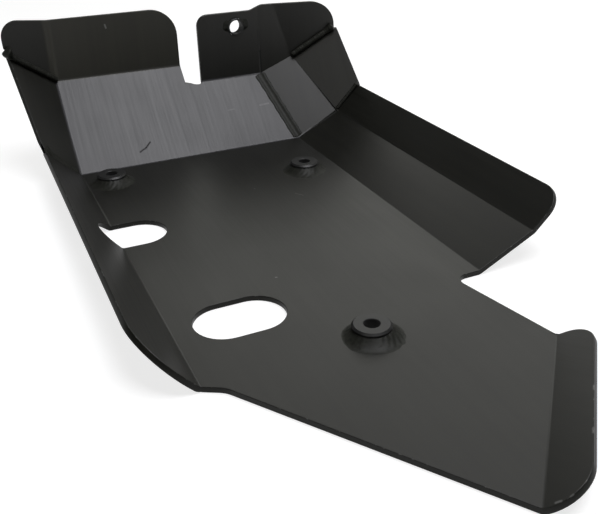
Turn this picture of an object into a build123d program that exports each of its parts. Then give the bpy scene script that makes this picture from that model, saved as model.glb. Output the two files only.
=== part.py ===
from build123d import *
import os
from math import cos, radians, sin, tan

# Motorcycle skid plate: one folded aluminium sheet with welded corners, three recessed bolt cups
# welded into its floor and a bush welded into its front tab. The rear cup's axis is X 0, Y 0,
# the underside of the floor is Z 0, +Y points to the front of the motorcycle and +X to its right.

# Sheet stock and bends
sheet = 4.0
bend_radius = 3.0
corner_bend_radius = 5.0
wing_bend_radius = 30.0

# Floor between its two side folds and its front fold
left_fold_x = -113.5
floor_width = 222.0
front_fold_y = 351.5

# Left wall, measured up its slope
left_wall_angle = 45.0
left_wall_front = 39.1
left_wall_rear = 42.7
left_wall_corner_radius = 41.5
left_wall_rear_y = -4.0

# Right bevel and flange, measured up their slopes
bevel_angle = 26.5
bevel_width = 49.4
flange_angle = 45.0
flange_width = 34.5
flange_corner_radius = 18.5
right_rear_y = 37.0

# Pointed tail with its folded lip, whose far end lies in from the right fold
tail_step = 12.6
tail_step_cut = 29.7
tail_step_radius = 16.0
notch_inset = 22.6
notch_radius = 9.0
lip_near_x = 1.0
lip_near_y = -162.0
lip_far_inset = 5.3
lip_far_y = -51.7
lip_far_radius = 10.0
lip_angle = 34.0
lip_width = 24.2
lip_near_corner_radius = 23.5
lip_far_corner_radius = 19.5

# Front panel, its corner facets and the two upper panels that fold up from it, with the tab's
# places measured in from the right fold
front_angle = 45.0
bevel_corner_angle = 46.4
flange_corner_angle = 45.3
corner_foot = 36.5
corner_flare = 28.5
left_panel_length = 100.2
tab_panel_length = 78.6
upper_angle = 90.0
upper_left_top = 131.7
upper_left_corner_radius = 26.0
tab_top = 124.7
tab_corner_radius = 11.0
tab_step_inset = 25.5
tab_step_run = 12.0
tab_step_radius = 8.0

# Wings bent back from the upper panels, which reach out past the side folds of the floor
left_wing_angle = 13.8
left_wing_reach = 42.5
left_wing_top = 137.5
left_wing_corner_radius = 14.5
low_wing_foot = 41.2
low_wing_flare = 37.5
low_wing_foot_height = 8.0
tab_wing_inset = 18.0
tab_wing_angle = 4.0
right_wing_angle = 9.0
right_wing_bend = 38.5
right_wing_slant = 19.0
right_wing_reach = 61.3
right_wing_top = 129.2
right_wing_corner_radius = 25.0

# Openings, with the ovals' places measured from the left fold
slot_x = 17.8
slot_width = 16.6
slot_bottom = 76.4
slot_left_radius = 13.5
slot_right_radius = 3.0
oval_inset = 46.5
oval_y = 56.0
oval_length = 63.2
oval_width = 43.2
side_slot_y = 208.1
side_slot_width = 43.0
side_slot_floor_reach = 40.0
side_slot_wall_reach = 17.0

# Bolt cups in the floor, the front ones set in from the side folds
cup_diameter = 26.0
cup_rise = 8.0
cup_bore = 10.0
cup_recess_diameter = 19.0
cup_recess_depth = 8.0
cup_edge = 0.6
cup_rim = 1.3
front_left_cup_inset = 22.5
front_left_cup_y = 322.5
front_right_cup_inset = 31.0
front_right_cup_y = 270.0

# Bush in the front tab, set in from the right fold and down from the tab's top
bush_diameter = 17.0
bush_bore = 13.5
bush_length = 10.0
bush_proud = 1.5
bush_edge = 0.5
bush_inset = 42.3
bush_drop = 14.5

# Clearance round what is set into a hole before it is welded
fit_gap = 0.15

# Weld beads; a crown below 0 makes a bead hollow
cup_weld_leg = 7.8
cup_weld_height = 5.0
cup_weld_crown = -0.6
seam_weld_width = 8.0
seam_weld_crown = 1.4
corner_weld_width = 10.5
corner_weld_crown = 0.5
seam_weld_start = 7.0
seam_weld_end = 3.0
bush_weld_arc = 60.0
bush_weld_leg = 5.0
bush_weld_height = 1.4
bush_weld_crown = 0.4

# Reach of the cutting solids, how far they stand past what they cut, and how far a trim stays
# short of the welded corner that it must not cut
reach = 900.0
over = 3.0
short = 1.0

# Places that follow from the width of the floor
right_fold_x = left_fold_x + floor_width
notch_x = right_fold_x - notch_inset
lip_far_x = right_fold_x - lip_far_inset
tab_step_x = right_fold_x - tab_step_inset
tab_wing_x = right_fold_x - tab_wing_inset
bush_x = right_fold_x - bush_inset
left_wing_outer_x = left_fold_x - left_wing_reach
right_wing_outer_x = right_fold_x + right_wing_reach
oval_x = left_fold_x + oval_inset
front_left_cup_x = left_fold_x + front_left_cup_inset
front_right_cup_x = right_fold_x - front_right_cup_inset


def slope(angle):
    """Share of a slope that runs level, and share that climbs."""
    return cos(radians(angle)), sin(radians(angle))


# Inner faces of the sheet: the Z of each plane points into the tray
wall_run, wall_climb = slope(left_wall_angle)
bevel_run, bevel_climb = slope(bevel_angle)
flange_run, flange_climb = slope(flange_angle)
front_run, front_climb = slope(front_angle)
upper_run, upper_climb = slope(upper_angle)
lip_run, lip_climb = slope(lip_angle)

forward = Vector(0, 1, 0)
upward = Vector(0, 0, 1)
floor_face = Plane((0, 0, sheet))
left_wall_face = Plane((left_fold_x, 0, sheet), x_dir=(0, 1, 0), z_dir=(wall_climb, 0, wall_run))
bevel_face = Plane((right_fold_x, 0, sheet), x_dir=(0, -1, 0), z_dir=(-bevel_climb, 0, bevel_run))
flange_x = right_fold_x + bevel_width * bevel_run
flange_z = sheet + bevel_width * bevel_climb
flange_face = Plane((flange_x, 0, flange_z), x_dir=(0, -1, 0), z_dir=(-flange_climb, 0, flange_run))
front_face = Plane((0, front_fold_y, sheet), x_dir=(1, 0, 0), z_dir=(0, -front_climb, front_run))


def upper_face(panel_length):
    """Face that folds up where the front panel has that length."""
    y = front_fold_y + panel_length * front_run
    z = sheet + panel_length * front_climb
    return Plane((0, y, z), x_dir=(1, 0, 0), z_dir=(0, -upper_climb, upper_run))


upper_left_face = upper_face(left_panel_length)
tab_face = upper_face(tab_panel_length)


def corner_face(side_face, angle):
    """Facet that folds up from the front end of the bevel or the flange."""
    run, climb = slope(angle)
    origin = side_face.origin + forward * front_fold_y
    return Plane(origin, x_dir=side_face.y_dir, z_dir=side_face.z_dir * run - forward * climb)


bevel_corner_face = corner_face(bevel_face, bevel_corner_angle)
flange_corner_face = corner_face(flange_face, flange_corner_angle)

# The lower left wing spans from the front panel's left edge to the front end of the left wall
wall_front_edge = Vector(-wall_run, 0, wall_climb)
front_left_edge = Vector(0, front_run, front_climb)
low_wing_face = Plane(
    (left_fold_x, front_fold_y, sheet),
    x_dir=wall_front_edge * -1,
    z_dir=front_left_edge.cross(wall_front_edge),
)


def wing_face(panel_face, bend_x, angle, side):
    """Wing bent back from an upper panel, to the left (side -1) or to the right (side 1)."""
    along, back = slope(angle)
    origin = panel_face.origin + Vector(bend_x, 0, 0)
    return Plane(origin, x_dir=(along, -side * back, 0), z_dir=(-side * back, -along, 0))


left_wing_face = wing_face(upper_left_face, left_fold_x, left_wing_angle, -1)
tab_wing_face = wing_face(tab_face, tab_wing_x, tab_wing_angle, 1)

# The right wing turns back about a slanting line on the tab's wing
slant_run, slant_climb = slope(right_wing_slant)
turn_run, turn_climb = slope(right_wing_angle)
right_wing_out = tab_wing_face.x_dir * slant_run + tab_wing_face.y_dir * slant_climb
right_wing_face = Plane(
    tab_wing_face.origin + tab_wing_face.x_dir * right_wing_bend,
    x_dir=right_wing_out * turn_run + tab_wing_face.z_dir * turn_climb,
    z_dir=tab_wing_face.z_dir * turn_run - right_wing_out * turn_climb,
)

# The lip folds up along the slanting rear end of the floor
lip_near = Vector(lip_near_x, lip_near_y, sheet)
lip_far = Vector(lip_far_x, lip_far_y, sheet)
lip_length = (lip_far - lip_near).length
lip_line = (lip_far - lip_near).normalized()
lip_out = lip_line.cross(upward)
lip_face = Plane(lip_far, x_dir=lip_line * -1, z_dir=upward * lip_run - lip_out * lip_climb)

# Faces and rounded folds of the sheet on each side of the front slot; its other corners are welded
left_faces = [
    floor_face,
    front_face,
    left_wall_face,
    lip_face,
    low_wing_face,
    upper_left_face,
    left_wing_face,
]
left_folds = [
    (upper_left_face, left_wing_face, wing_bend_radius),
    (front_face, upper_left_face, bend_radius),
    (front_face, low_wing_face, corner_bend_radius),
    (floor_face, lip_face, bend_radius),
    (floor_face, left_wall_face, bend_radius),
    (floor_face, front_face, bend_radius),
]
right_faces = [
    floor_face,
    front_face,
    bevel_face,
    flange_face,
    lip_face,
    bevel_corner_face,
    flange_corner_face,
    tab_face,
    tab_wing_face,
    right_wing_face,
]
right_folds = [
    (tab_wing_face, right_wing_face, wing_bend_radius),
    (tab_face, tab_wing_face, wing_bend_radius),
    (front_face, tab_face, bend_radius),
    (bevel_corner_face, flange_corner_face, corner_bend_radius),
    (bevel_face, bevel_corner_face, bend_radius),
    (floor_face, lip_face, bend_radius),
    (bevel_face, flange_face, bend_radius),
    (floor_face, bevel_face, bend_radius),
    (floor_face, front_face, bend_radius),
]


def outline(*corners):
    """Closed outline through corners given as (x, y), or as (x, y, radius) where they are round."""
    face = make_face(Polyline(*[corner[:2] for corner in corners], close=True))
    for corner in corners:
        if len(corner) == 3:
            vertex = face.vertices().sort_by_distance((corner[0], corner[1], 0))[0]
            face = fillet(vertex, corner[2])
    return face


def prism(frame, shape, low, high):
    """Solid raised from a flat shape on a face, between two heights over that face."""
    return frame.offset(low) * extrude(shape, amount=high - low, dir=(0, 0, 1))


def through(frame, shape):
    """Cutting solid that goes through the sheet square to one of its faces."""
    return prism(frame, shape, -sheet - over, over)


def across(face_a, face_b):
    """Frame across two faces: X along the first one, Y along its normal; and the angle's cosine."""
    turn = face_a.z_dir.dot(face_b.z_dir)
    x_dir = (face_b.z_dir - face_a.z_dir * turn).normalized()
    return x_dir, x_dir.cross(face_a.z_dir), -turn


def meeting_point(face_a, face_b, face_c):
    """Point where three faces meet."""
    a, b, c = face_a.z_dir, face_b.z_dir, face_c.z_dir
    total = b.cross(c) * a.dot(face_a.origin)
    total += c.cross(a) * b.dot(face_b.origin)
    total += a.cross(b) * c.dot(face_c.origin)
    return total * (1 / a.dot(b.cross(c)))


def fold_space(face_a, face_b, radius, depth):
    """Space inside two faces that were moved outwards by a depth, rounded along their fold."""
    x_dir, z_dir, cosine = across(face_a, face_b)
    sine = (1 - cosine * cosine) ** 0.5
    middle = Plane((0, front_fold_y / 2, sheet), z_dir=z_dir)
    origin = meeting_point(face_a.offset(-depth), face_b.offset(-depth), middle)
    profile = outline(
        (0, 0, radius + depth),
        (reach, 0),
        (reach, reach),
        (reach * cosine, reach),
        (reach * cosine, reach * sine),
    )
    return Plane(origin, x_dir=x_dir, z_dir=z_dir) * extrude(profile, amount=reach, both=True)


def tray_space(faces, folds, depth, x_low, x_high):
    """Inside of the folded tray between two X positions, grown outwards by a depth."""
    low, high = lip_near_y - reach / 9, front_fold_y + reach / 3
    ground = outline((x_low, low), (x_high, low), (x_high, high), (x_low, high))
    space = prism(Plane.XY, ground, -over, reach / 5)
    for face in faces:
        inside = Box(2 * reach, 2 * reach, reach, align=(Align.CENTER, Align.CENTER, Align.MIN))
        space = space & (face.offset(-depth) * inside)
    for face_a, face_b, radius in folds:
        space = space & fold_space(face_a, face_b, radius, depth)
    return space


def folded_half(faces, folds, x_low, x_high):
    """The sheet as folded between two X positions, before its edges and openings are cut."""
    outer = tray_space(faces, folds, sheet, x_low, x_high)
    inner = tray_space(faces, folds, 0, x_low, x_high)
    return outer - inner


def left_wall_waste():
    """What is cut away above the left wall and round its rear end."""
    front_end = front_fold_y + over
    keep = outline(
        (front_end, -reach),
        (front_end, left_wall_front),
        (left_wall_rear_y, left_wall_rear, left_wall_corner_radius),
        (left_wall_rear_y, -reach),
    )
    zone_end = front_end - short
    zone = outline((-reach, 0), (zone_end, 0), (zone_end, reach), (-reach, reach))
    return through(left_wall_face, zone - keep)


def tail_left_waste():
    """What is cut away behind the slanting left edge of the tail."""
    step_y = left_wall_rear_y - tail_step * tan(radians(tail_step_cut))
    side_x = left_fold_x - over
    end = lip_near + lip_out * reach
    shape = outline(
        (side_x, left_wall_rear_y),
        (left_fold_x, left_wall_rear_y),
        (left_fold_x + tail_step, step_y, tail_step_radius),
        (lip_near.X, lip_near.Y),
        (end.X, end.Y),
        (side_x, end.Y),
    )
    return prism(floor_face, shape, -sheet - over, reach / 9)


def tail_right_waste():
    """What is cut away behind the right side and beside the tail."""
    end = lip_far + lip_out * reach
    shape = outline(
        (notch_x, right_rear_y, notch_radius),
        (end.X, right_rear_y),
        (end.X, end.Y),
        (lip_far.X, lip_far.Y, lip_far_radius),
    )
    return prism(floor_face, shape, -sheet - over, reach / 5)


def lip_waste():
    """What is cut away above the lip and round its two corners."""
    keep = outline(
        (0, -over),
        (lip_length, -over),
        (lip_length, lip_width, lip_near_corner_radius),
        (0, lip_width, lip_far_corner_radius),
    )
    low = lip_width - max(lip_near_corner_radius, lip_far_corner_radius)
    side = lip_length + reach / 9
    zone = outline((-reach / 9, low), (side, low), (side, reach), (-reach / 9, reach))
    return through(lip_face, zone - keep)


def flange_waste():
    """What is cut away above the right flange and round its rear corner."""
    front_end = -front_fold_y - over
    keep = outline(
        (front_end, 0),
        (-right_rear_y, 0),
        (-right_rear_y, flange_width, flange_corner_radius),
        (front_end, flange_width),
    )
    low = flange_width - flange_corner_radius
    zone_end = front_end + short
    zone = outline((zone_end, low), (reach, low), (reach, reach), (zone_end, reach))
    return through(flange_face, zone - keep)


def corner_facet_waste():
    """What is cut away beyond the flared outer edge of the flange's corner facet."""
    lean = tan(radians(corner_flare))
    height = reach / 3
    shape = outline(
        (corner_foot - over * lean, -over),
        (corner_foot + height * lean, height),
        (reach, height),
        (reach, -over),
    )
    return through(flange_corner_face, shape)


def low_wing_waste():
    """What is cut away beyond the flared outer edge of the lower left wing and beside its foot."""
    lean = tan(radians(low_wing_flare))
    height = reach / 3
    shape = outline(
        (-left_wall_front, -over),
        (-left_wall_front, 0),
        (-low_wing_foot - low_wing_foot_height * lean, low_wing_foot_height),
        (-low_wing_foot - height * lean, height),
        (-reach, height),
        (-reach, -over),
    )
    return through(low_wing_face, shape)


def upper_waste(low, side_x, *top):
    """What is cut away above an upper panel and its wings, whose top line is given in X and Z."""
    first, last = top[0], top[-1]
    keep = outline((first[0], 0), *top, (last[0], 0))
    zone = outline((slot_x, low), (side_x, low), (side_x, reach / 3), (slot_x, reach / 3))
    frame = Plane((0, upper_left_face.origin.Y, 0), x_dir=(1, 0, 0), z_dir=(0, -1, 0))
    return prism(frame, zone - keep, -sheet - over, upper_left_face.origin.Y - front_fold_y)


def front_slot():
    """Open slot between the upper left panel and the tab, rounded at its lower end."""
    left = slot_x - slot_width / 2
    right = slot_x + slot_width / 2
    low_end = outline(
        (left, slot_bottom, slot_left_radius),
        (right, slot_bottom, slot_right_radius),
        (right, reach),
        (left, reach),
    )
    tab_z = tab_face.origin.Z
    upright = outline((left, tab_z), (right, tab_z), (right, reach), (left, reach))
    frame = Plane((0, upper_left_face.origin.Y, 0), x_dir=(1, 0, 0), z_dir=(0, -1, 0))
    return through(front_face, low_end) + prism(frame, upright, -sheet - over, reach / 30)


def side_slot():
    """Oval opening that runs from the floor over the fold into the left wall."""
    length = side_slot_floor_reach + side_slot_wall_reach
    middle = (side_slot_floor_reach - side_slot_wall_reach) / 2
    oval = SlotOverall(length, side_slot_width)
    half = Rectangle(reach, reach, align=(Align.MIN, Align.CENTER))
    upright = Rot(0, 0, 90)
    on_floor = (Pos(left_fold_x + middle, side_slot_y) * oval) & (Pos(left_fold_x - over / 2, 0) * half)
    on_wall = (Pos(side_slot_y, -middle) * upright * oval) & (Pos(0, -over / 2) * upright * half)
    return through(floor_face, on_floor) + through(left_wall_face, on_wall)


cup_places = {
    "front_left": (front_left_cup_x, front_left_cup_y),
    "front_right": (front_right_cup_x, front_right_cup_y),
    "rear": (0, 0),
}


def plate():
    """The folded sheet with its edges trimmed and its openings cut."""
    slot_left = slot_x - slot_width / 2
    slot_right = slot_x + slot_width / 2
    left_low = upper_left_face.origin.Z
    right_low = right_wing_top - right_wing_corner_radius - over
    body = folded_half(left_faces, left_folds, -reach / 3, slot_x)
    body += folded_half(right_faces, right_folds, slot_x, reach / 3)
    body -= left_wall_waste()
    body -= tail_left_waste()
    body -= tail_right_waste()
    body -= lip_waste()
    body -= flange_waste()
    body -= corner_facet_waste()
    body -= low_wing_waste()
    body -= upper_waste(
        left_low,
        -reach / 2,
        (slot_left, upper_left_top, upper_left_corner_radius),
        (left_fold_x, upper_left_top),
        (left_wing_outer_x, left_wing_top, left_wing_corner_radius),
    )
    body -= upper_waste(
        right_low,
        reach / 2,
        (slot_right, tab_top, tab_corner_radius),
        (tab_step_x, tab_top, tab_step_radius),
        (tab_step_x + tab_step_run, right_wing_top, tab_step_radius),
        (right_wing_outer_x, right_wing_top, right_wing_corner_radius),
    )
    body -= front_slot()
    body -= side_slot()
    body -= through(floor_face, Pos(oval_x, oval_y) * SlotOverall(oval_length, oval_width))
    for x, y in cup_places.values():
        body -= through(floor_face, Pos(x, y) * Circle(cup_diameter / 2 + fit_gap))
    bush_place = Pos(bush_x, tab_top - bush_drop - tab_face.origin.Z)
    body -= through(tab_face, bush_place * Circle(bush_diameter / 2 + fit_gap))
    return body


def turned(frame, *corners):
    """Turned piece about a frame's Z, from its half section in radius and height."""
    return frame * revolve(Plane.XZ * outline(*corners), Axis.Z)


def cup(x, y):
    """Bolt cup: flush with the underside, with a recess for the bolt head below its web."""
    outer = cup_diameter / 2
    inner = cup_bore / 2
    recess = cup_recess_diameter / 2
    top = sheet + cup_rise
    return turned(
        Plane((x, y, 0)),
        (recess, 0),
        (outer, 0),
        (outer, top - cup_rim),
        (outer - cup_rim, top),
        (inner + cup_edge, top),
        (inner, top - cup_edge),
        (inner, cup_recess_depth),
        (recess, cup_recess_depth),
    )


def bush():
    """Plain bush through the front tab."""
    outer = bush_diameter / 2
    inner = bush_bore / 2
    tail = bush_proud - bush_length
    return turned(
        bush_frame,
        (inner, tail),
        (outer - bush_edge, tail),
        (outer, tail + bush_edge),
        (outer, bush_proud - bush_edge),
        (outer - bush_edge, bush_proud),
        (inner, bush_proud),
    )


bush_frame = Plane(
    (bush_x, tab_face.origin.Y, tab_top - bush_drop),
    x_dir=tab_face.x_dir,
    z_dir=tab_face.z_dir,
)


def ring_weld(frame, diameter, leg, height, crown, arc):
    """Fillet weld round a turned piece, through an arc that is centred on the frame's X."""
    ridge = Vector(leg, height) * 0.5 + Vector(height, leg).normalized() * crown
    bead = outline((0, 0), (leg, 0), (ridge.X, ridge.Y), (0, height))
    section = Plane.XZ * Pos(diameter / 2 + fit_gap, 0) * bead
    ring = revolve(section, Axis.Z, revolution_arc=arc)
    return frame * Rot(0, 0, -arc / 2) * ring


def cup_weld(x, y):
    """Fillet weld round a bolt cup."""
    frame = Plane((x, y, sheet))
    return ring_weld(frame, cup_diameter, cup_weld_leg, cup_weld_height, cup_weld_crown, 360)


def bush_welds():
    """Two short welds on opposite sides of the bush."""
    tack = ring_weld(
        Plane.XY,
        bush_diameter,
        bush_weld_leg,
        bush_weld_height,
        bush_weld_crown,
        bush_weld_arc,
    )
    return bush_frame * (tack + Rot(0, 0, 180) * tack)


def bead_section(foot_a, foot_b, crown):
    """Section of a weld bead in a corner at 0, 0, from one foot to the other with a round crown."""
    middle = (Vector(*foot_a) + Vector(*foot_b)) * 0.5
    top = middle + middle.normalized() * crown
    crown_arc = ThreePointArc(foot_a, (top.X, top.Y), foot_b)
    return make_face([Line((0, 0), foot_a), crown_arc, Line(foot_b, (0, 0))])


def seam_weld(face_a, face_b, start, end, width=seam_weld_width, crown=seam_weld_crown):
    """Bead along the corner of two faces, kept short of both ends of the corner."""
    x_dir, z_dir, cosine = across(face_a, face_b)
    sine = (1 - cosine * cosine) ** 0.5
    foot = width / 2
    section = bead_section((foot, 0), (foot * cosine, foot * sine), crown)
    line = (end - start).normalized()
    length = (end - start).length - seam_weld_start - seam_weld_end
    frame = Plane(start + line * seam_weld_start, x_dir=x_dir, z_dir=z_dir)
    return frame * extrude(section, amount=length * line.dot(z_dir), dir=(0, 0, 1))


# Ends of the welded corners
left_side = Plane((left_wing_outer_x, 0, 0), z_dir=(1, 0, 0))
right_side = Plane((right_wing_outer_x, 0, 0), z_dir=(1, 0, 0))
wall_weld_start = meeting_point(floor_face, left_wall_face, low_wing_face)
wall_weld_end = wall_weld_start + wall_front_edge * left_wall_front
left_wing_weld_start = meeting_point(upper_left_face, left_wing_face, low_wing_face)
left_wing_weld_end = meeting_point(left_side, left_wing_face, low_wing_face)
corner_weld_start = meeting_point(floor_face, front_face, bevel_corner_face)
corner_weld_end = meeting_point(tab_face, front_face, bevel_corner_face)
flange_weld_start = meeting_point(bevel_face, flange_face, flange_corner_face)
flange_weld_end = flange_weld_start + flange_corner_face.x_dir * flange_width
right_wing_weld_start = meeting_point(bevel_corner_face, right_wing_face, flange_corner_face)
right_wing_weld_end = meeting_point(right_side, right_wing_face, flange_corner_face)

pieces = {
    "plate": plate(),
    "tab_bush": bush(),
    "bush_welds": bush_welds(),
    "weld_left_wall": seam_weld(left_wall_face, low_wing_face, wall_weld_start, wall_weld_end),
    "weld_left_wing": seam_weld(low_wing_face, left_wing_face, left_wing_weld_start, left_wing_weld_end),
    "weld_corner": seam_weld(
        front_face,
        bevel_corner_face,
        corner_weld_start,
        corner_weld_end,
        corner_weld_width,
        corner_weld_crown,
    ),
    "weld_flange_corner": seam_weld(flange_face, flange_corner_face, flange_weld_start, flange_weld_end),
    "weld_right_wing": seam_weld(
        flange_corner_face,
        right_wing_face,
        right_wing_weld_start,
        right_wing_weld_end,
    ),
}
for place, (x, y) in cup_places.items():
    pieces["cup_" + place] = cup(x, y)
    pieces["cup_weld_" + place] = cup_weld(x, y)

os.makedirs("parts", exist_ok=True)
for name, piece in pieces.items():
    export_step(piece, "parts/" + name + ".step")
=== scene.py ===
import math

import bmesh
import bpy
from bpy.props import FloatProperty, FloatVectorProperty, PointerProperty
from bpy.types import Operator, Panel, PropertyGroup
from mathutils import Matrix, Vector, noise
from mathutils.bvhtree import BVHTree


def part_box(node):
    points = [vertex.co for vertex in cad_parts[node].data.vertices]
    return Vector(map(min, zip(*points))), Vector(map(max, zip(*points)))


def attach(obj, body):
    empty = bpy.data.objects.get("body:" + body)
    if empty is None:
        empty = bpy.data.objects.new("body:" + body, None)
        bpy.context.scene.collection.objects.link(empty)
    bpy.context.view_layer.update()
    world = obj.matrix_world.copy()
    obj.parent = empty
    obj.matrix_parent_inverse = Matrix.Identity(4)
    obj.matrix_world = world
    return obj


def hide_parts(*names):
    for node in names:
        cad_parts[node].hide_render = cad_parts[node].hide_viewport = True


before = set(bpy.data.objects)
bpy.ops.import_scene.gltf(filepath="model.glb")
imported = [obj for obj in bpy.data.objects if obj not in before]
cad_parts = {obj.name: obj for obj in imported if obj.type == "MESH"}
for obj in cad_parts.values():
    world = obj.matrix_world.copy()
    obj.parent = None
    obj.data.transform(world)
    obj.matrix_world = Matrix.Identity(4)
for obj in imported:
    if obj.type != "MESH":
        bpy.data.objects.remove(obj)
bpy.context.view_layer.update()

bl_info = {
    "name": "Skid plate looks",
    "version": (1, 0, 0),
    "blender": (4, 5, 0),
    "location": "View3D > Sidebar > Skid plate",
    "description": "Coated sheet, rippled welds, turned cups and a studio for a folded skid plate",
    "category": "Object",
}

MILLIMETRE = 0.001

# Colour of stains, and of the painted shade in bores and along a crease
NEARLY_BLACK = (0.0005, 0.0005, 0.0005, 1.0)

# Which edges are cut, which are shaded sharp, and which faces count as flat panels
CUT_ANGLE = math.radians(50)
SMOOTH_ANGLE = math.radians(34)
PANEL_ANGLE = math.radians(3)
PANEL_AREA = 100 * MILLIMETRE ** 2
PANEL_WIDTH = 2.5 * MILLIMETRE
SHEET_BEHIND = 6.5 * MILLIMETRE

# Ends of the corner beads, in millimetres
LUMP_PLACE = 2.2
LUMP_WIDTH = 4.0
END_TAPER = 1.4

# Cup welds: the side they lean to, and the ripples where they stop, in degrees
LEAN_TOWARDS = 260.0
STOP_WIDTH = 34.0
STOP_PITCH = 17.0
STOP_SLANT = 1.7

# Studio, in metres
FLOOR_RADIUS = 8.0
FLOOR_DROP = 0.3 * MILLIMETRE
FLOOR_LIFT = 0.77
WALL_HEIGHT = 1.4
LAMP_TARGET = Vector((0.02, 0.25, 0.03))
CAMERA_PLACE = Vector((-0.20511, -0.35900, 0.28124))


class Wire:
    """An output of a shader node that can be used in Python expressions."""

    def __init__(self, book, socket):
        self.book = book
        self.socket = socket

    def __add__(self, other):
        return self.book.math("ADD", self, other)

    def __radd__(self, other):
        return self.book.math("ADD", other, self)

    def __sub__(self, other):
        return self.book.math("SUBTRACT", self, other)

    def __rsub__(self, other):
        return self.book.math("SUBTRACT", other, self)

    def __mul__(self, other):
        return self.book.math("MULTIPLY", self, other)

    def __rmul__(self, other):
        return self.book.math("MULTIPLY", other, self)


class NodeBook:
    """A node tree that is written one node at a time."""

    def __init__(self, tree):
        self.tree = tree
        tree.nodes.clear()

    def node(self, kind, settings, inputs, output=0):
        """Adds a node: its settings first, then a value or a link for each socket named."""
        made = self.tree.nodes.new(kind)
        for name, value in settings.items():
            setattr(made, name, value)
        for name, value in inputs.items():
            if isinstance(value, Wire):
                self.tree.links.new(value.socket, made.inputs[name])
            else:
                made.inputs[name].default_value = value
        return Wire(self, made.outputs[output]) if made.outputs else None

    def math(self, operation, *values):
        """A Math node on one, two or three values."""
        return self.node("ShaderNodeMath", {"operation": operation}, dict(enumerate(values)))

    def vector(self, operation, *values):
        """A Vector Math node whose result is a vector."""
        return self.node("ShaderNodeVectorMath", {"operation": operation}, dict(enumerate(values)))

    def measure(self, operation, *values):
        """A Vector Math node whose result is a number."""
        settings = {"operation": operation}
        return self.node("ShaderNodeVectorMath", settings, dict(enumerate(values)), 1)

    def ramp(self, value, low, high, to_low=0.0, to_high=1.0):
        """A smooth change from one number to another while a value goes from low to high."""
        settings = {"interpolation_type": "SMOOTHSTEP"}
        inputs = {0: value, 1: low, 2: high, 3: to_low, 4: to_high}
        return self.node("ShaderNodeMapRange", settings, inputs)

    def blend(self, share, colour_a, colour_b):
        """A mix of two colours."""
        inputs = {0: share, 6: colour_a, 7: colour_b}
        return self.node("ShaderNodeMix", {"data_type": "RGBA"}, inputs, 2)

    def noise(self, place, scale, detail=2.0, roughness=0.5):
        """Noise from 0 to 1 about a half."""
        inputs = {"Vector": place, "Scale": scale, "Detail": detail, "Roughness": roughness}
        return self.node("ShaderNodeTexNoise", {}, inputs)

    def place(self):
        """The point's place on the part, in metres."""
        return self.node("ShaderNodeTexCoord", {}, {}, 3)

    def stretched(self, place, stretch):
        """The same place with each axis multiplied."""
        return self.vector("MULTIPLY", place, stretch)

    def line(self, place, start, end, width):
        """1 on a straight line between two points, and 0 from a width away."""
        start = Vector(start)
        span = Vector(end) - start
        offset = self.vector("SUBTRACT", place, tuple(start))
        along = self.measure("DOT_PRODUCT", offset, tuple(span / span.length_squared))
        share = self.node("ShaderNodeClamp", {}, {0: along})
        spread = self.node("ShaderNodeCombineXYZ", {}, {0: share, 1: share, 2: share})
        foot = self.vector("MULTIPLY", spread, tuple(span))
        distance = self.measure("LENGTH", self.vector("SUBTRACT", offset, foot))
        return self.ramp(distance, width * 0.4, width, 1.0, 0.0)


class Finish(NodeBook):
    """A material that is written one node at a time."""

    def __init__(self, name):
        self.material = bpy.data.materials.new(name)
        self.material.use_nodes = True
        super().__init__(self.material.node_tree)

    def shader(self, constants, varying):
        """A Principled shader with its constant and its varying sockets."""
        return self.node("ShaderNodeBsdfPrincipled", {}, {**constants, **varying})

    def finish(self, shader):
        """Adds the output, and gives the material."""
        self.node("ShaderNodeOutputMaterial", {}, {"Surface": shader})
        return self.material

    def bump(self, height, strength, distance):
        """A normal that follows a height."""
        inputs = {"Strength": strength, "Distance": distance, "Height": height}
        return self.node("ShaderNodeBump", {}, inputs)


class SheetLooks(PropertyGroup):
    """Looks of the folded sheet."""

    edge_round: FloatProperty(
        name="Edge rounding",
        description="Width of the rounding along the cut edges of the sheet",
        default=0.45 * MILLIMETRE,
        unit="LENGTH",
        precision=5,
    )
    coat_colour: FloatVectorProperty(
        name="Coat colour",
        description="Colour of the satin coating",
        default=(0.0085, 0.0086, 0.0066),
        size=3,
        subtype="COLOR",
    )
    # The bare colour also paints the glints along the lip's edge
    bare_and_glint_colour: FloatVectorProperty(
        name="Bare colour",
        description="Colour of the metal where the coating is scratched",
        default=(0.34, 0.34, 0.33),
        size=3,
        subtype="COLOR",
    )
    roughness: FloatProperty(
        name="Roughness",
        description="Roughness of the coating",
        default=0.42,
        subtype="FACTOR",
    )
    gloss: FloatProperty(
        name="Gloss",
        description="Specular level of the coating",
        default=0.5,
        subtype="FACTOR",
    )


class WeldLooks(PropertyGroup):
    """Looks of the weld beads."""

    ripple_pitch: FloatProperty(
        name="Ripple pitch",
        description="Distance between the ripples of a bead",
        default=2.6 * MILLIMETRE,
        unit="LENGTH",
        precision=5,
    )
    ripple_depth: FloatProperty(
        name="Ripple depth",
        description="Depth of the ripples as a share of the bead's height",
        default=0.05,
        subtype="FACTOR",
    )
    colour: FloatVectorProperty(
        name="Colour",
        description="Colour of the coating over the weld",
        default=(0.0180, 0.0187, 0.0152),
        size=3,
        subtype="COLOR",
    )


class TurnedLooks(PropertyGroup):
    """Looks of the turned cups and the bush."""

    ring_pitch: FloatProperty(
        name="Ring pitch",
        description="Distance between the turning marks",
        default=0.55 * MILLIMETRE,
        unit="LENGTH",
        precision=5,
    )
    colour: FloatVectorProperty(
        name="Colour",
        description="Colour of the coating over the turned faces",
        default=(0.0130, 0.0132, 0.0128),
        size=3,
        subtype="COLOR",
    )


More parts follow.
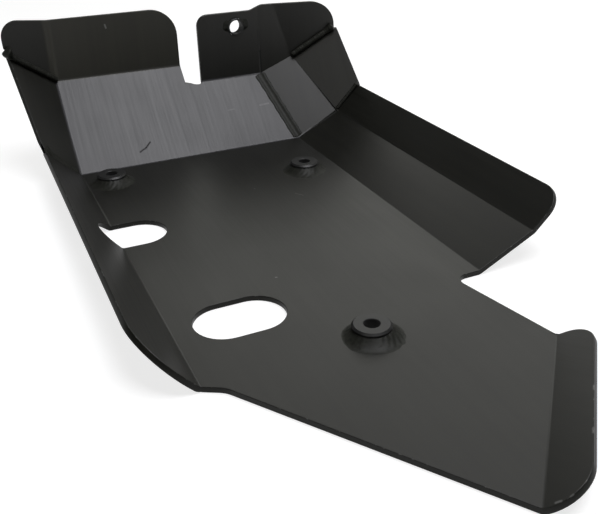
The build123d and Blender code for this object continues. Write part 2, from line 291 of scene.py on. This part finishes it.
class StageLooks(PropertyGroup):
    """Looks of the studio."""

    floor_colour: FloatVectorProperty(
        name="Floor colour",
        description="Colour of the plain floor",
        default=(0.42, 0.42, 0.42),
        size=3,
        subtype="COLOR",
    )
    key_brightness: FloatProperty(
        name="Key brightness",
        description="Brightness of the overhead softbox, where 1 is white",
        default=6.6,
    )
    fill_brightness: FloatProperty(
        name="Fill brightness",
        description="Brightness of the wide softbox beyond the turned-up front, where 1 is white",
        default=1.27,
    )
    side_brightness: FloatProperty(
        name="Side brightness",
        description="Brightness of the softbox at the rear left, where 1 is white",
        default=1.3,
    )
    dome_strength: FloatProperty(
        name="Dome strength",
        description="Strength of the even light from all round",
        default=0.05,
        subtype="FACTOR",
    )


class SkidPlateLooks(PropertyGroup):
    """All looks of the skid plate."""

    sheet: PointerProperty(type=SheetLooks)
    weld: PointerProperty(type=WeldLooks)
    turned: PointerProperty(type=TurnedLooks)
    stage: PointerProperty(type=StageLooks)


def looks():
    """The looks that the user has set."""
    return bpy.context.scene.skid_plate


def opaque(colour):
    """A colour with full alpha."""
    return (*colour, 1.0)


def coat_finish():
    """Satin black coating over rolled sheet, with its grain, nicks and scratches, painted light on
    two faces, painted glints on the lip's edge and painted shade along a crease.
    """
    sheet = looks().sheet
    book = Finish("satin_coat_on_sheet")
    place = book.place()
    grain = book.noise(book.stretched(place, (620.0, 9.0, 9.0)), 1.0, 4.0, 0.6)
    bands = book.noise(book.stretched(place, (150.0, 5.0, 5.0)), 1.0, 3.0, 0.55)
    clouds = book.noise(place, 16.0, 3.0, 0.5)
    dust = book.noise(place, 2600.0, 2.0, 0.6)
    dark = tuple(0.82 * channel for channel in sheet.coat_colour)
    light = tuple(1.22 * channel for channel in sheet.coat_colour)
    share = book.ramp(grain * 0.5 + bands * 0.5, 0.35, 0.65)
    colour = book.blend(share, opaque(dark), opaque(light))
    # Painted light: two faces made lighter in streaks, for the light that falls on them, with scuff
    # streaks
    for lit_face in LIT_AND_SCUFFED_FACES:
        colour = lit_and_scuffed(book, place, colour, bands, *lit_face)
    edge = book.node("ShaderNodeAttribute", {"attribute_name": "edge"}, {}, 2)
    rubbed = book.ramp(book.noise(place, 260.0, 3.0, 0.6), 0.56, 0.70) * edge
    # Bare scratches and nicks, with painted glints on the lip's edge
    scratches_and_glints = mark_mask(book, place, SCRATCHES_AND_GLINTS)
    # Dark stains, with painted shade along the tab's crease
    stains_and_crease_shade = mark_mask(book, place, STAINS_AND_CREASE_SHADE)
    bare_and_glints = book.node("ShaderNodeClamp", {}, {0: rubbed * 0.35 + scratches_and_glints})
    colour = book.blend(stains_and_crease_shade, colour, NEARLY_BLACK)
    colour = book.blend(bare_and_glints, colour, opaque(sheet.bare_and_glint_colour))
    roughness = sheet.roughness + (grain - 0.5) * 0.16 + (clouds - 0.5) * 0.10
    roughness = roughness - bare_and_glints * 0.06 + stains_and_crease_shade * 0.5
    height = grain * 0.55 + bands * 0.35 + dust * 0.25 - scratches_and_glints * 0.8 - stains_and_crease_shade
    normal = book.bump(height, 0.22, 0.08 * MILLIMETRE)
    cut = book.node("ShaderNodeAttribute", {"attribute_name": "cut"}, {}, 2)
    varying = {"Base Color": colour, "Roughness": roughness, "Normal": normal}
    coat = book.shader({"Specular IOR Level": sheet.gloss}, varying)
    dull = book.shader({"Specular IOR Level": 0.35 * sheet.gloss}, varying)
    return book.finish(book.node("ShaderNodeMixShader", {}, {0: cut, 1: coat, 2: dull}))


def lit_and_scuffed(book, place, colour, bands, facing, offset, right_end, dust, amount):
    """A colour that is lighter in streaks on one face of the sheet, up to its right end: painted
    light on the face, with scuff streaks in it.
    """
    # The dust colour is painted light on the face, with scuff streaks in it
    height = book.measure("DOT_PRODUCT", place, facing) - offset
    on_face = book.ramp(book.math("ABSOLUTE", height), 0.0007, 0.0014, 1.0, 0.0)
    across = book.measure("DOT_PRODUCT", place, (1.0, 0.0, 0.0))
    within = book.ramp(across, right_end - 0.003, right_end, 1.0, 0.0)
    return book.blend(on_face * within * (bands * 0.8 + 0.6) * amount, colour, opaque(dust))


# Faces with painted light and scuff streaks, the front panel and the upper left panel: facing,
# offset along it, right end, colour and amount of each
LIT_AND_SCUFFED_FACES = [
    ((0.0, 0.70711, -0.70711), 0.24572, 0.120, (0.060, 0.060, 0.067), 0.55),
    ((0.0, 1.0, 0.0), 0.42235, 0.010, (0.030, 0.029, 0.020), 0.70),
]
# Bare marks, with painted glints on the lip's edge, and dark marks, with painted shade along a
# crease: start, end, width and depth of each
SCRATCHES_AND_GLINTS = [
    ((0.0439, 0.3816, 0.0341), (0.0505, 0.3818, 0.0343), 0.0009, 0.10),
    ((0.0790, 0.3818, 0.0343), (0.0882, 0.3823, 0.0348), 0.0014, 0.14),
    ((-0.0605, 0.42235, 0.1225), (-0.0598, 0.42235, 0.1195), 0.0011, 0.50),
    ((-0.0262, 0.0930, 0.0040), (-0.0254, 0.0928, 0.0040), 0.0008, 0.40),
    ((0.0466, 0.2220, 0.0040), (0.0510, 0.2150, 0.0040), 0.0007, 0.22),
    ((0.0186, 0.2487, 0.0040), (0.0187, 0.2470, 0.0040), 0.0007, 0.20),
    # Painted glints along the lip's edge, on bare nicks
    ((0.0733, -0.1136, 0.0172), (0.0709, -0.1162, 0.0172), 0.0009, 0.24),
    ((0.0486, -0.1398, 0.0172), (0.0462, -0.1424, 0.0172), 0.0009, 0.22),
    ((0.0235, -0.1655, 0.0167), (0.0205, -0.1664, 0.0158), 0.0012, 0.40),
    ((0.0130, -0.1668, 0.0121), (0.0118, -0.1667, 0.0116), 0.0009, 0.24),
    ((0.0080, -0.1652, 0.0088), (0.0062, -0.1640, 0.0075), 0.0010, 0.28),
]
STAINS_AND_CREASE_SHADE = [
    # A dark scratch on the front panel
    ((-0.0548, 0.3606, 0.0131), (-0.0480, 0.3631, 0.0156), 0.0010, 0.55),
    ((-0.0480, 0.3631, 0.0156), (-0.0427, 0.3667, 0.0192), 0.0009, 0.70),
    # Painted shade along the crease at the tab's bend
    ((0.0899, 0.4071, 0.1044), (0.0910, 0.4071, 0.0830), 0.0016, 0.35),
    ((0.0910, 0.4071, 0.0830), (0.0921, 0.4071, 0.0609), 0.0014, 0.80),
]


def mark_mask(book, place, marks):
    """1 in the middle of a list of marks: start, end, width and depth of each."""
    total = None
    for start, end, width, depth in marks:
        mark = book.line(place, start, end, width) * depth
        total = mark if total is None else total + mark
    return book.node("ShaderNodeClamp", {}, {0: total})


def weld_finish():
    """Satin black coating over rippled weld, with small pits."""
    weld = looks().weld
    book = Finish("satin_coat_on_weld")
    place = book.place()
    lumps = book.noise(place, 420.0, 3.0, 0.6)
    pits = book.ramp(book.noise(place, 900.0, 2.0, 0.5), 0.62, 0.72)
    dark = tuple(0.70 * channel for channel in weld.colour)
    light = tuple(1.30 * channel for channel in weld.colour)
    colour = book.blend(book.ramp(lumps, 0.3, 0.7), opaque(dark), opaque(light))
    roughness = 0.38 + lumps * 0.16 + pits * 0.10
    normal = book.bump(lumps * 0.8 - pits * 0.6, 0.30, 0.25 * MILLIMETRE)
    constants = {"Specular IOR Level": 0.18}
    varying = {"Base Color": colour, "Roughness": roughness, "Normal": normal}
    return book.finish(book.shader(constants, varying))


def turned_finish(name, centre, across, bore, recess):
    """Satin black coating over turned faces, with rings about an axis, and a dull bore with painted
    shade in it and in the recess below.
    """
    turned = looks().turned
    book = Finish(name)
    place = book.place()
    offset = book.vector("SUBTRACT", place, tuple(centre))
    radius = book.measure("LENGTH", book.stretched(offset, across))
    wander = book.noise(place, 140.0, 2.0, 0.5)
    turns = radius * (2 * math.pi / turned.ring_pitch) + wander * 2.0
    rings = book.math("SINE", turns) * 0.5 + 0.5
    clouds = book.noise(place, 300.0, 3.0, 0.6)
    dark = tuple(0.8 * channel for channel in turned.colour)
    light = tuple(1.3 * channel for channel in turned.colour)
    colour = book.blend(book.ramp(clouds, 0.3, 0.7), opaque(dark), opaque(light))
    depth = book.measure("DOT_PRODUCT", offset, tuple(Vector((1.0, 1.0, 1.0)) - Vector(across)))
    below = book.ramp(depth, 1.8 * MILLIMETRE, 2.2 * MILLIMETRE, 1.0, 0.0)
    edge = bore + below * recess
    # Painted shade: the bore, and the recess below it, are painted nearly black
    bore_shade = book.ramp(radius - edge, 0.0, 0.3 * MILLIMETRE, 1.0, 0.0)
    colour = book.blend(bore_shade, colour, NEARLY_BLACK)
    roughness = 0.34 + rings * 0.06 + clouds * 0.12 + bore_shade * 0.5
    normal = book.bump(rings * 0.6 + clouds * 0.5, 0.18, 0.06 * MILLIMETRE)
    constants = {"Specular IOR Level": 0.5}
    varying = {"Base Color": colour, "Roughness": roughness, "Normal": normal}
    return book.finish(book.shader(constants, varying))


def merged_copy(node, distance):
    """A merged copy of a CAD node's mesh, with its flat faces whole."""
    bm = bmesh.new()
    bm.from_mesh(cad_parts[node].data)
    bmesh.ops.remove_doubles(bm, verts=bm.verts, dist=distance)
    bmesh.ops.dissolve_limit(
        bm,
        angle_limit=math.radians(0.3),
        use_dissolve_boundaries=False,
        verts=bm.verts,
        edges=bm.edges,
    )
    return bm


def add_piece(name, bm, slot, material, *nodes):
    """Makes an object of a mesh that stands for CAD nodes and rides on the part."""
    if not bm.faces:
        raise RuntimeError(name + " has no faces")
    for face in bm.faces:
        face.smooth = True
    crease(bm)
    mesh = bpy.data.meshes.new(name)
    bm.to_mesh(mesh)
    bm.free()
    if "custom_normal" in mesh.attributes:
        mesh.attributes.remove(mesh.attributes["custom_normal"])
    mesh.materials.clear()
    mesh.materials.append(material)
    piece = bpy.data.objects.new(name, mesh)
    bpy.context.scene.collection.objects.link(piece)
    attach(piece, "root")
    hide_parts(*nodes)
    return piece


def is_panel(face):
    """Whether a face is a whole flat side of the sheet, and no strip of a fold or a rounding."""
    longest = max(edge.calc_length() for edge in face.edges)
    area = face.calc_area()
    return area > PANEL_AREA and area > PANEL_WIDTH * longest


def crease(bm):
    """Sharpens the edges that are not part of a rounding, and those where two panels meet."""
    panels = {face for face in bm.faces if is_panel(face)}
    for edge in bm.edges:
        flat = panels.issuperset(edge.link_faces)
        edge.smooth = edge.calc_face_angle(0.0) < (PANEL_ANGLE if flat else SMOOTH_ANGLE)


def shade_panels(piece):
    """Shades flat panels flat, and the roundings beside them smoothly up to them."""
    mesh = piece.data
    bm = bmesh.new()
    bm.from_mesh(mesh)
    panels = {face for face in bm.faces if is_panel(face)}
    normals = [corner.vector.copy() for corner in mesh.corner_normals]
    for polygon, face in zip(mesh.polygons, bm.faces):
        for index, loop in zip(polygon.loop_indices, face.loops):
            flat = {face} if face in panels else panels.intersection(loop.vert.link_faces)
            turns = {near.normal.angle(face.normal): near for near in flat}
            if turns and min(turns) < SMOOTH_ANGLE:
                normals[index] = turns[min(turns)].normal.copy()
    bm.free()
    mesh.normals_split_custom_set(normals)


def mark_cuts(bm):
    """Marks the faces where the sheet was cut, which are those with no other face close behind."""
    sheet = BVHTree.FromBMesh(bm)
    layer = bm.faces.layers.float.new("cut")
    for face in bm.faces:
        start = face.calc_center_median_weighted() - face.normal * 0.05 * MILLIMETRE
        behind = sheet.ray_cast(start, -face.normal, SHEET_BEHIND)[0]
        face[layer] = 1.0 if behind is None else 0.0


def round_edges(bm, width):
    """Rounds the cut edges, and marks their middle line in an attribute."""
    sharp = BVHTree.FromBMesh(bm)
    cut = [edge for edge in bm.edges if edge.calc_face_angle(0.0) > CUT_ANGLE]
    made = bmesh.ops.bevel(
        bm,
        geom=cut,
        offset=width,
        offset_type="OFFSET",
        affect="EDGES",
        segments=3,
        profile=0.5,
        material=-1,
        clamp_overlap=False,
    )
    rounded = set(made["faces"])
    layer = bm.verts.layers.float.new("edge")
    for vertex in bm.verts:
        nearest = sharp.find_nearest(vertex.co)
        if nearest[3] > width:
            vertex.co = nearest[0]
        if all(face in rounded for face in vertex.link_faces):
            vertex[layer] = 1.0


def bead_material():
    """The weld finish, made once."""
    return bpy.data.materials.get("satin_coat_on_weld") or weld_finish()


def ripple(travel):
    """Height of a bead's ripples, from 0 in the line between two to 1 on top."""
    return abs(math.sin(math.pi * travel))


def uneven(travel, seed):
    """Slow change along a bead, about 0."""
    return noise.noise(Vector((travel, seed, 0.0)))


class Corner:
    """The inside corner that a CAD bead fills: its line, its length and its frame across."""

    def __init__(self, node):
        bm = merged_copy(node, 0.001 * MILLIMETRE)
        longest = max(bm.edges, key=lambda edge: edge.calc_length())
        self.axis = (longest.verts[1].co - longest.verts[0].co).normalized()
        if self.axis.z < 0:
            self.axis.negate()
        caps = [face for face in bm.faces if abs(face.normal.dot(self.axis)) > 0.99]
        caps.sort(key=lambda face: face.calc_center_median().dot(self.axis))
        sides = sorted(caps[0].edges, key=lambda edge: edge.calc_length())[-2:]
        root = (set(sides[0].verts) & set(sides[1].verts)).pop()
        feet = [edge.other_vert(root).co - root.co for edge in sides]
        self.root = root.co.copy()
        self.leg = feet[0].length
        self.length = (caps[-1].calc_center_median() - self.root).dot(self.axis)
        self.out = (feet[0] + feet[1]).normalized()
        self.side = self.axis.cross(self.out)
        self.half_angle = self.out.angle(feet[0])
        bm.free()


def round_section(corner, radius):
    """A round bead in a corner, with a gap along its lower side, as (out, side) points."""
    centre = 0.94 * radius / math.sin(corner.half_angle)
    rise = math.copysign(0.30 * radius, corner.side.z)
    turns = [2 * math.pi * index / 14 for index in range(14)]
    return [(centre + radius * math.cos(turn), rise + radius * math.sin(turn)) for turn in turns]


def flat_section(corner, leg, rail, valley):
    """A flat bead from one side of a corner to the other, with a low rail along each edge."""
    chord = leg * math.cos(corner.half_angle)
    heights = {1.0: 0.0, 0.84: 0.8 * rail, 0.66: rail, 0.44: 0.2 * rail, 0.2: -valley, 0.0: -valley}
    points = [(0.0, 0.0)]
    for share in (-1.0, -0.84, -0.66, -0.44, -0.2, 0.0, 0.2, 0.44, 0.66, 0.84, 1.0):
        points.append((chord + heights[abs(share)], share * leg * math.sin(corner.half_angle)))
    return points


def seam_bead(name, node, seed, section, gains, lump):
    """A bead along a welded corner, longer than its CAD node, with a lump at its end."""
    weld = looks().weld
    corner = Corner(node)
    start_gain, end_gain = (gain * MILLIMETRE for gain in gains)
    length = corner.length + start_gain + end_gain
    first = corner.root - corner.axis * start_gain
    bm = bmesh.new()
    points = [first + corner.out * out + corner.side * side for out, side in section(corner)]
    verts = [bm.verts.new(point) for point in points]
    edges = [bm.edges.new(pair) for pair in zip(verts, verts[1:] + verts[:1])]
    steps = int(length / (weld.ripple_pitch / 5))
    for step in range(steps):
        made = bmesh.ops.extrude_edge_only(bm, edges=edges)["geom"]
        verts = [item for item in made if isinstance(item, bmesh.types.BMVert)]
        edges = [item for item in made if isinstance(item, bmesh.types.BMEdge)]
        edges = [edge for edge in edges if edge.is_boundary]
        bmesh.ops.translate(bm, verts=verts, vec=corner.axis * (length / steps))
    open_edges = [edge for edge in bm.edges if edge.is_boundary]
    bmesh.ops.holes_fill(bm, edges=open_edges, sides=len(points))
    bmesh.ops.recalc_face_normals(bm, faces=bm.faces)
    for vertex in bm.verts:
        travel = (vertex.co - first).dot(corner.axis)
        foot = first + corner.axis * travel
        outward = vertex.co - foot
        bow = 1.0 - min(1.0, outward.length / corner.leg)
        turns = (travel - 1.2 * MILLIMETRE * bow) / weld.ripple_pitch
        size = 1.0 + weld.ripple_depth * (ripple(turns) - 0.6)
        size += 0.10 * uneven(travel * 130, seed) + 0.05 * uneven(travel * 420, seed + 7.0)
        from_end = (length - travel) / MILLIMETRE
        size += lump * math.exp(-((from_end - LUMP_PLACE) / LUMP_WIDTH) ** 2)
        near_end = min(travel, length - travel) / (END_TAPER * MILLIMETRE)
        size *= math.sqrt(max(0.06, min(1.0, near_end)))
        vertex.co = foot + outward * size
    return add_piece(name, bm, "weld", bead_material(), node)


def ring_bead(name, nodes, rings, seed, hollow):
    """Fillet welds round a turned piece: frame, radius, leg, height, arc, lean and stop of each."""
    bm = bmesh.new()
    for turn, (matrix, radius, leg, height, arc, lean, stop) in enumerate(rings):
        full = arc > 359.0
        section = [(0.0, 0.0)]
        for share in (0.0, 0.06, 0.13, 0.21, 0.30, 0.40, 0.52, 0.66, 0.82, 1.0):
            section.append((leg * (1.0 - share), height * share ** hollow))
        verts = [bm.verts.new((radius + out, 0.0, up)) for out, up in section]
        edges = [bm.edges.new((a, b)) for a, b in zip(verts, verts[1:] + verts[:1])]
        bmesh.ops.spin(
            bm,
            geom=verts + edges,
            cent=(0.0, 0.0, 0.0),
            axis=(0.0, 0.0, 1.0),
            angle=math.radians(arc),
            steps=int(arc / 2),
            use_merge=full,
        )
        ring = [vertex for vertex in bm.verts if not vertex.tag]
        for vertex in ring:
            vertex.tag = True
            angle = math.degrees(math.atan2(vertex.co.y, vertex.co.x)) % 360.0
            out = math.hypot(vertex.co.x, vertex.co.y) - radius
            circle = Vector((math.cos(math.radians(angle)), math.sin(math.radians(angle)), 0.0))
            size = 1.0 + 0.12 * noise.noise(circle * 1.4 + Vector((seed + turn, 0.0, 3.0)))
            size += 0.06 * noise.noise(circle * 6.0 + Vector((seed + turn, 5.0, 1.0)))
            rise = 1.0
            if full:
                size += lean * math.cos(math.radians(angle - LEAN_TOWARDS)) - 0.4 * lean
                off = (angle - stop + 180.0) % 360.0 - 180.0
                near_stop = math.exp(-((off / STOP_WIDTH) ** 2))
                wave = near_stop * (ripple(off / STOP_PITCH + STOP_SLANT * out / leg) - 0.5)
                size += 0.08 * near_stop + 0.10 * wave
                rise += 0.6 * lean * wave
            else:
                near_end = min(angle, arc - angle) / (0.3 * arc)
                size *= math.sqrt(max(0.05, min(1.0, near_end)))
            reach = radius + out * size
            height_here = vertex.co.z * min(size, 1.05) * rise
            vertex.co = circle * reach + Vector((0.0, 0.0, height_here))
        if not full:
            open_edges = [edge for edge in bm.edges if edge.is_boundary]
            bmesh.ops.holes_fill(bm, edges=open_edges, sides=len(section))
        bmesh.ops.transform(bm, matrix=matrix, verts=ring)
    bmesh.ops.remove_doubles(bm, verts=bm.verts, dist=0.001 * MILLIMETRE)
    bmesh.ops.recalc_face_normals(bm, faces=bm.faces)
    return add_piece(name, bm, "weld", bead_material(), *nodes)


class SKIDPLATE_OT_sheet(Operator):
    """Coat the folded sheet and round its cut edges"""

    bl_idname = "skid_plate.sheet"
    bl_label = "Folded sheet"

    def execute(self, context):
        bm = merged_copy("plate", 0.25 * MILLIMETRE)
        mark_cuts(bm)
        round_edges(bm, looks().sheet.edge_round)
        piece = add_piece("coated_sheet", bm, "sheet", coat_finish(), "plate")
        shade_panels(piece)
        return {"FINISHED"}


class SKIDPLATE_OT_turned(Operator):
    """Coat the turned cups and the bush"""

    bl_idname = "skid_plate.turned"
    bl_label = "Cups and bush"

    def execute(self, context):
        upright, level = (1.0, 1.0, 0.0), (1.0, 0.0, 1.0)
        # Axes, and the radii out to which the bore and the recess below it get painted shade
        turned = {
            "cup_front_left": (upright, 5.2, 4.4),
            "cup_front_right": (upright, 5.2, 4.4),
            "cup_rear": (upright, 5.2, 4.4),
            "tab_bush": (level, 6.6, 0.0),
        }
        for node, (across, bore, recess) in turned.items():
            low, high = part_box(node)
            centre = (low + high) / 2
            sizes = (bore * MILLIMETRE, recess * MILLIMETRE)
            material = turned_finish("satin_coat_on_" + node, centre, across, *sizes)
            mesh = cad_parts[node].data
            mesh.materials.clear()
            mesh.materials.append(material)
        return {"FINISHED"}


class SKIDPLATE_OT_cup_welds(Operator):
    """Lay a rippled weld round each cup"""

    bl_idname = "skid_plate.cup_welds"
    bl_label = "Cup welds"

    def execute(self, context):
        cups = {"front_left": (0.22, 262.0), "front_right": (0.22, 262.0), "rear": (0.36, 312.0)}
        for seed, (place, (lean, stop)) in enumerate(cups.items()):
            node = "cup_weld_" + place
            low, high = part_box(node)
            cup_low, cup_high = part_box("cup_" + place)
            radius = (cup_high.x - cup_low.x) / 2
            leg = (high.x - low.x) / 2 - radius
            centre = (low + high) / 2
            matrix = Matrix.Translation((centre.x, centre.y, low.z))
            ring = (matrix, radius, leg, high.z - low.z, 360.0, lean, stop)
            ring_bead("bead_cup_" + place, [node], [ring], 11.0 + 3.0 * seed, 1.6)
        return {"FINISHED"}


class SKIDPLATE_OT_bush_welds(Operator):
    """Lay the two short welds beside the bush"""

    bl_idname = "skid_plate.bush_welds"
    bl_label = "Bush welds"

    def execute(self, context):
        low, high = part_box("bush_welds")
        bush_low, bush_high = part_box("tab_bush")
        radius = (bush_high.x - bush_low.x) / 2
        leg = (high.x - low.x) / 2 - radius
        centre = (low + high) / 2
        middle = Matrix.Translation((centre.x, high.y, centre.z))
        face = middle @ Matrix.Rotation(math.pi / 2, 4, "X")
        arc = 70.0
        rings = []
        for turn in (12.0, 168.0):
            matrix = face @ Matrix.Rotation(math.radians(turn - arc / 2), 4, "Z")
            rings.append((matrix, radius, leg, high.y - low.y, arc, 0.0, 0.0))
        ring_bead("bead_bush", ["bush_welds"], rings, 31.0, 1.0)
        return {"FINISHED"}


class SKIDPLATE_OT_seam_welds(Operator):
    """Lay the rippled welds along the closed corners"""

    bl_idname = "skid_plate.seam_welds"
    bl_label = "Corner welds"

    def execute(self, context):
        def rolled(radius):
            return lambda corner: round_section(corner, radius * MILLIMETRE)

        def strip(leg, rail, valley):
            return lambda corner: flat_section(
                corner, leg * MILLIMETRE, rail * MILLIMETRE, valley * MILLIMETRE
            )

        seams = {
            "left_wall": (strip(3.6, 0.10, 0.15), (4.0, 5.2), 1.0),
            "left_wing": (rolled(2.5), (7.5, 5.7), 1.2),
            "corner": (strip(5.4, 0.45, 0.40), (6.0, 3.0), 0.10),
            "flange_corner": (rolled(1.9), (6.5, 3.0), 0.10),
            "right_wing": (rolled(2.8), (7.0, 2.6), 0.25),
        }
        for seed, (place, (section, gains, lump)) in enumerate(seams.items()):
            seam_bead("bead_" + place, "weld_" + place, 50.0 + 5.0 * seed, section, gains, lump)
        return {"FINISHED"}


class SKIDPLATE_OT_stage(Operator):
    """Set up the floor, the soft light and the camera"""

    bl_idname = "skid_plate.stage"
    bl_label = "Studio"

    def execute(self, context):
        scene = context.scene
        scene.view_settings.view_transform = "Standard"
        add_floor(scene)
        add_dome(scene)
        stage = looks().stage
        key, fill, side = stage.key_brightness, stage.fill_brightness, stage.side_brightness
        add_softbox(scene, "key", (0.29, -0.10, 1.50), (0.92, 0.90), key, (0.97, 0.97, 1.0))
        add_softbox(scene, "fill", (1.28, 1.90, 1.42), (2.8, 1.4), fill, (1.0, 1.0, 0.95))
        add_softbox(scene, "side", (-1.50, -0.89, 1.67), (1.0, 0.7), side, (1.0, 0.98, 0.86))
        add_camera(scene)
        return {"FINISHED"}


def seen_directly(book):
    """1 for what the camera sees, also in a reflection or through glass."""
    path = book.node("ShaderNodeLightPath", {}, {}).socket.node
    camera, glossy, clear = (
        Wire(book, path.outputs[name])
        for name in ("Is Camera Ray", "Is Glossy Ray", "Is Transmission Ray")
    )
    return book.math("MAXIMUM", book.math("MAXIMUM", camera, glossy), clear)


def add_floor(scene):
    """A plain pale floor with a low wall round it, which shows white and keeps the shadow."""
    bm = bmesh.new()
    bmesh.ops.create_circle(bm, cap_ends=True, segments=96, radius=FLOOR_RADIUS)
    rim = [edge for edge in bm.edges if edge.is_boundary]
    made = bmesh.ops.extrude_edge_only(bm, edges=rim)["geom"]
    top = [item for item in made if isinstance(item, bmesh.types.BMVert)]
    bmesh.ops.translate(bm, verts=top, vec=(0.0, 0.0, WALL_HEIGHT))
    bmesh.ops.translate(bm, verts=bm.verts, vec=(0.0, 0.0, -FLOOR_DROP))
    mesh = bpy.data.meshes.new("floor")
    bm.to_mesh(mesh)
    bm.free()
    material = bpy.data.materials.new("pale_floor")
    material.use_nodes = True
    book = NodeBook(material.node_tree)
    matt = book.node("ShaderNodeBsdfDiffuse", {}, {"Color": opaque(looks().stage.floor_colour)})
    lift = book.node("ShaderNodeEmission", {}, {"Strength": seen_directly(book) * FLOOR_LIFT})
    both = book.node("ShaderNodeAddShader", {}, {0: matt, 1: lift})
    book.node("ShaderNodeOutputMaterial", {}, {"Surface": both})
    mesh.materials.append(material)
    floor = bpy.data.objects.new("floor", mesh)
    scene.collection.objects.link(floor)


def add_dome(scene):
    """Weak even light from all round, the same for every ray."""
    world = bpy.data.worlds.new("dome")
    world.use_nodes = True
    scene.world = world
    book = NodeBook(world.node_tree)
    inputs = {"Color": (1.0, 1.0, 1.0, 1.0), "Strength": looks().stage.dome_strength}
    light = book.node("ShaderNodeBackground", {}, inputs)
    book.node("ShaderNodeOutputWorld", {}, {"Surface": light})


def add_softbox(scene, name, place, size, brightness, tint):
    """A wide soft lamp that points at the part."""
    lamp = bpy.data.lights.new(name, "AREA")
    lamp.shape = "RECTANGLE"
    lamp.size, lamp.size_y = size
    lamp.energy = math.pi * brightness * lamp.size * lamp.size_y
    lamp.color = tint
    holder = bpy.data.objects.new(name, lamp)
    holder.location = place
    aim = LAMP_TARGET - Vector(place)
    holder.rotation_euler = aim.to_track_quat("-Z", "Y").to_euler()
    scene.collection.objects.link(holder)


def add_camera(scene):
    """The camera of the photograph."""
    camera = bpy.data.cameras.new("camera")
    camera.sensor_fit = "HORIZONTAL"
    camera.sensor_width = 36.0
    camera.lens = 47.42
    camera.shift_x = -0.0215
    camera.clip_start = 0.01
    camera.clip_end = 100.0
    right = Vector((0.90541, -0.42429, -0.01479))
    up = Vector((0.21298, 0.42380, 0.88036))
    back = Vector((-0.36726, -0.80024, 0.47407))
    holder = bpy.data.objects.new("camera", camera)
    turn = Matrix((right, up, back)).transposed().to_4x4()
    holder.matrix_world = Matrix.Translation(CAMERA_PLACE) @ turn
    scene.collection.objects.link(holder)
    scene.camera = holder


class SKIDPLATE_PT_looks(Panel):
    """Lists the steps that dress the skid plate"""

    bl_idname = "SKIDPLATE_PT_looks"
    bl_label = "Skid plate"
    bl_space_type = "VIEW_3D"
    bl_region_type = "UI"
    bl_category = "Skid plate"

    def draw(self, context):
        settings = context.scene.skid_plate
        for group in (settings.sheet, settings.weld, settings.turned, settings.stage):
            box = self.layout.box()
            for name in group.__annotations__:
                box.prop(group, name)
        for step in STEPS:
            self.layout.operator(step.bl_idname)


STEPS = [
    SKIDPLATE_OT_sheet,
    SKIDPLATE_OT_turned,
    SKIDPLATE_OT_cup_welds,
    SKIDPLATE_OT_bush_welds,
    SKIDPLATE_OT_seam_welds,
    SKIDPLATE_OT_stage,
]
GROUPS = [SheetLooks, WeldLooks, TurnedLooks, StageLooks, SkidPlateLooks]
CLASSES = [*GROUPS, *STEPS, SKIDPLATE_PT_looks]


def register():
    for item in CLASSES:
        bpy.utils.register_class(item)
    bpy.types.Scene.skid_plate = PointerProperty(type=SkidPlateLooks)


def unregister():
    del bpy.types.Scene.skid_plate
    for item in reversed(CLASSES):
        bpy.utils.unregister_class(item)


def main():
    register()
    bpy.ops.skid_plate.sheet()
    bpy.ops.skid_plate.turned()
    bpy.ops.skid_plate.cup_welds()
    bpy.ops.skid_plate.bush_welds()
    bpy.ops.skid_plate.seam_welds()
    bpy.ops.skid_plate.stage()


if __name__ == "__main__":
    main()
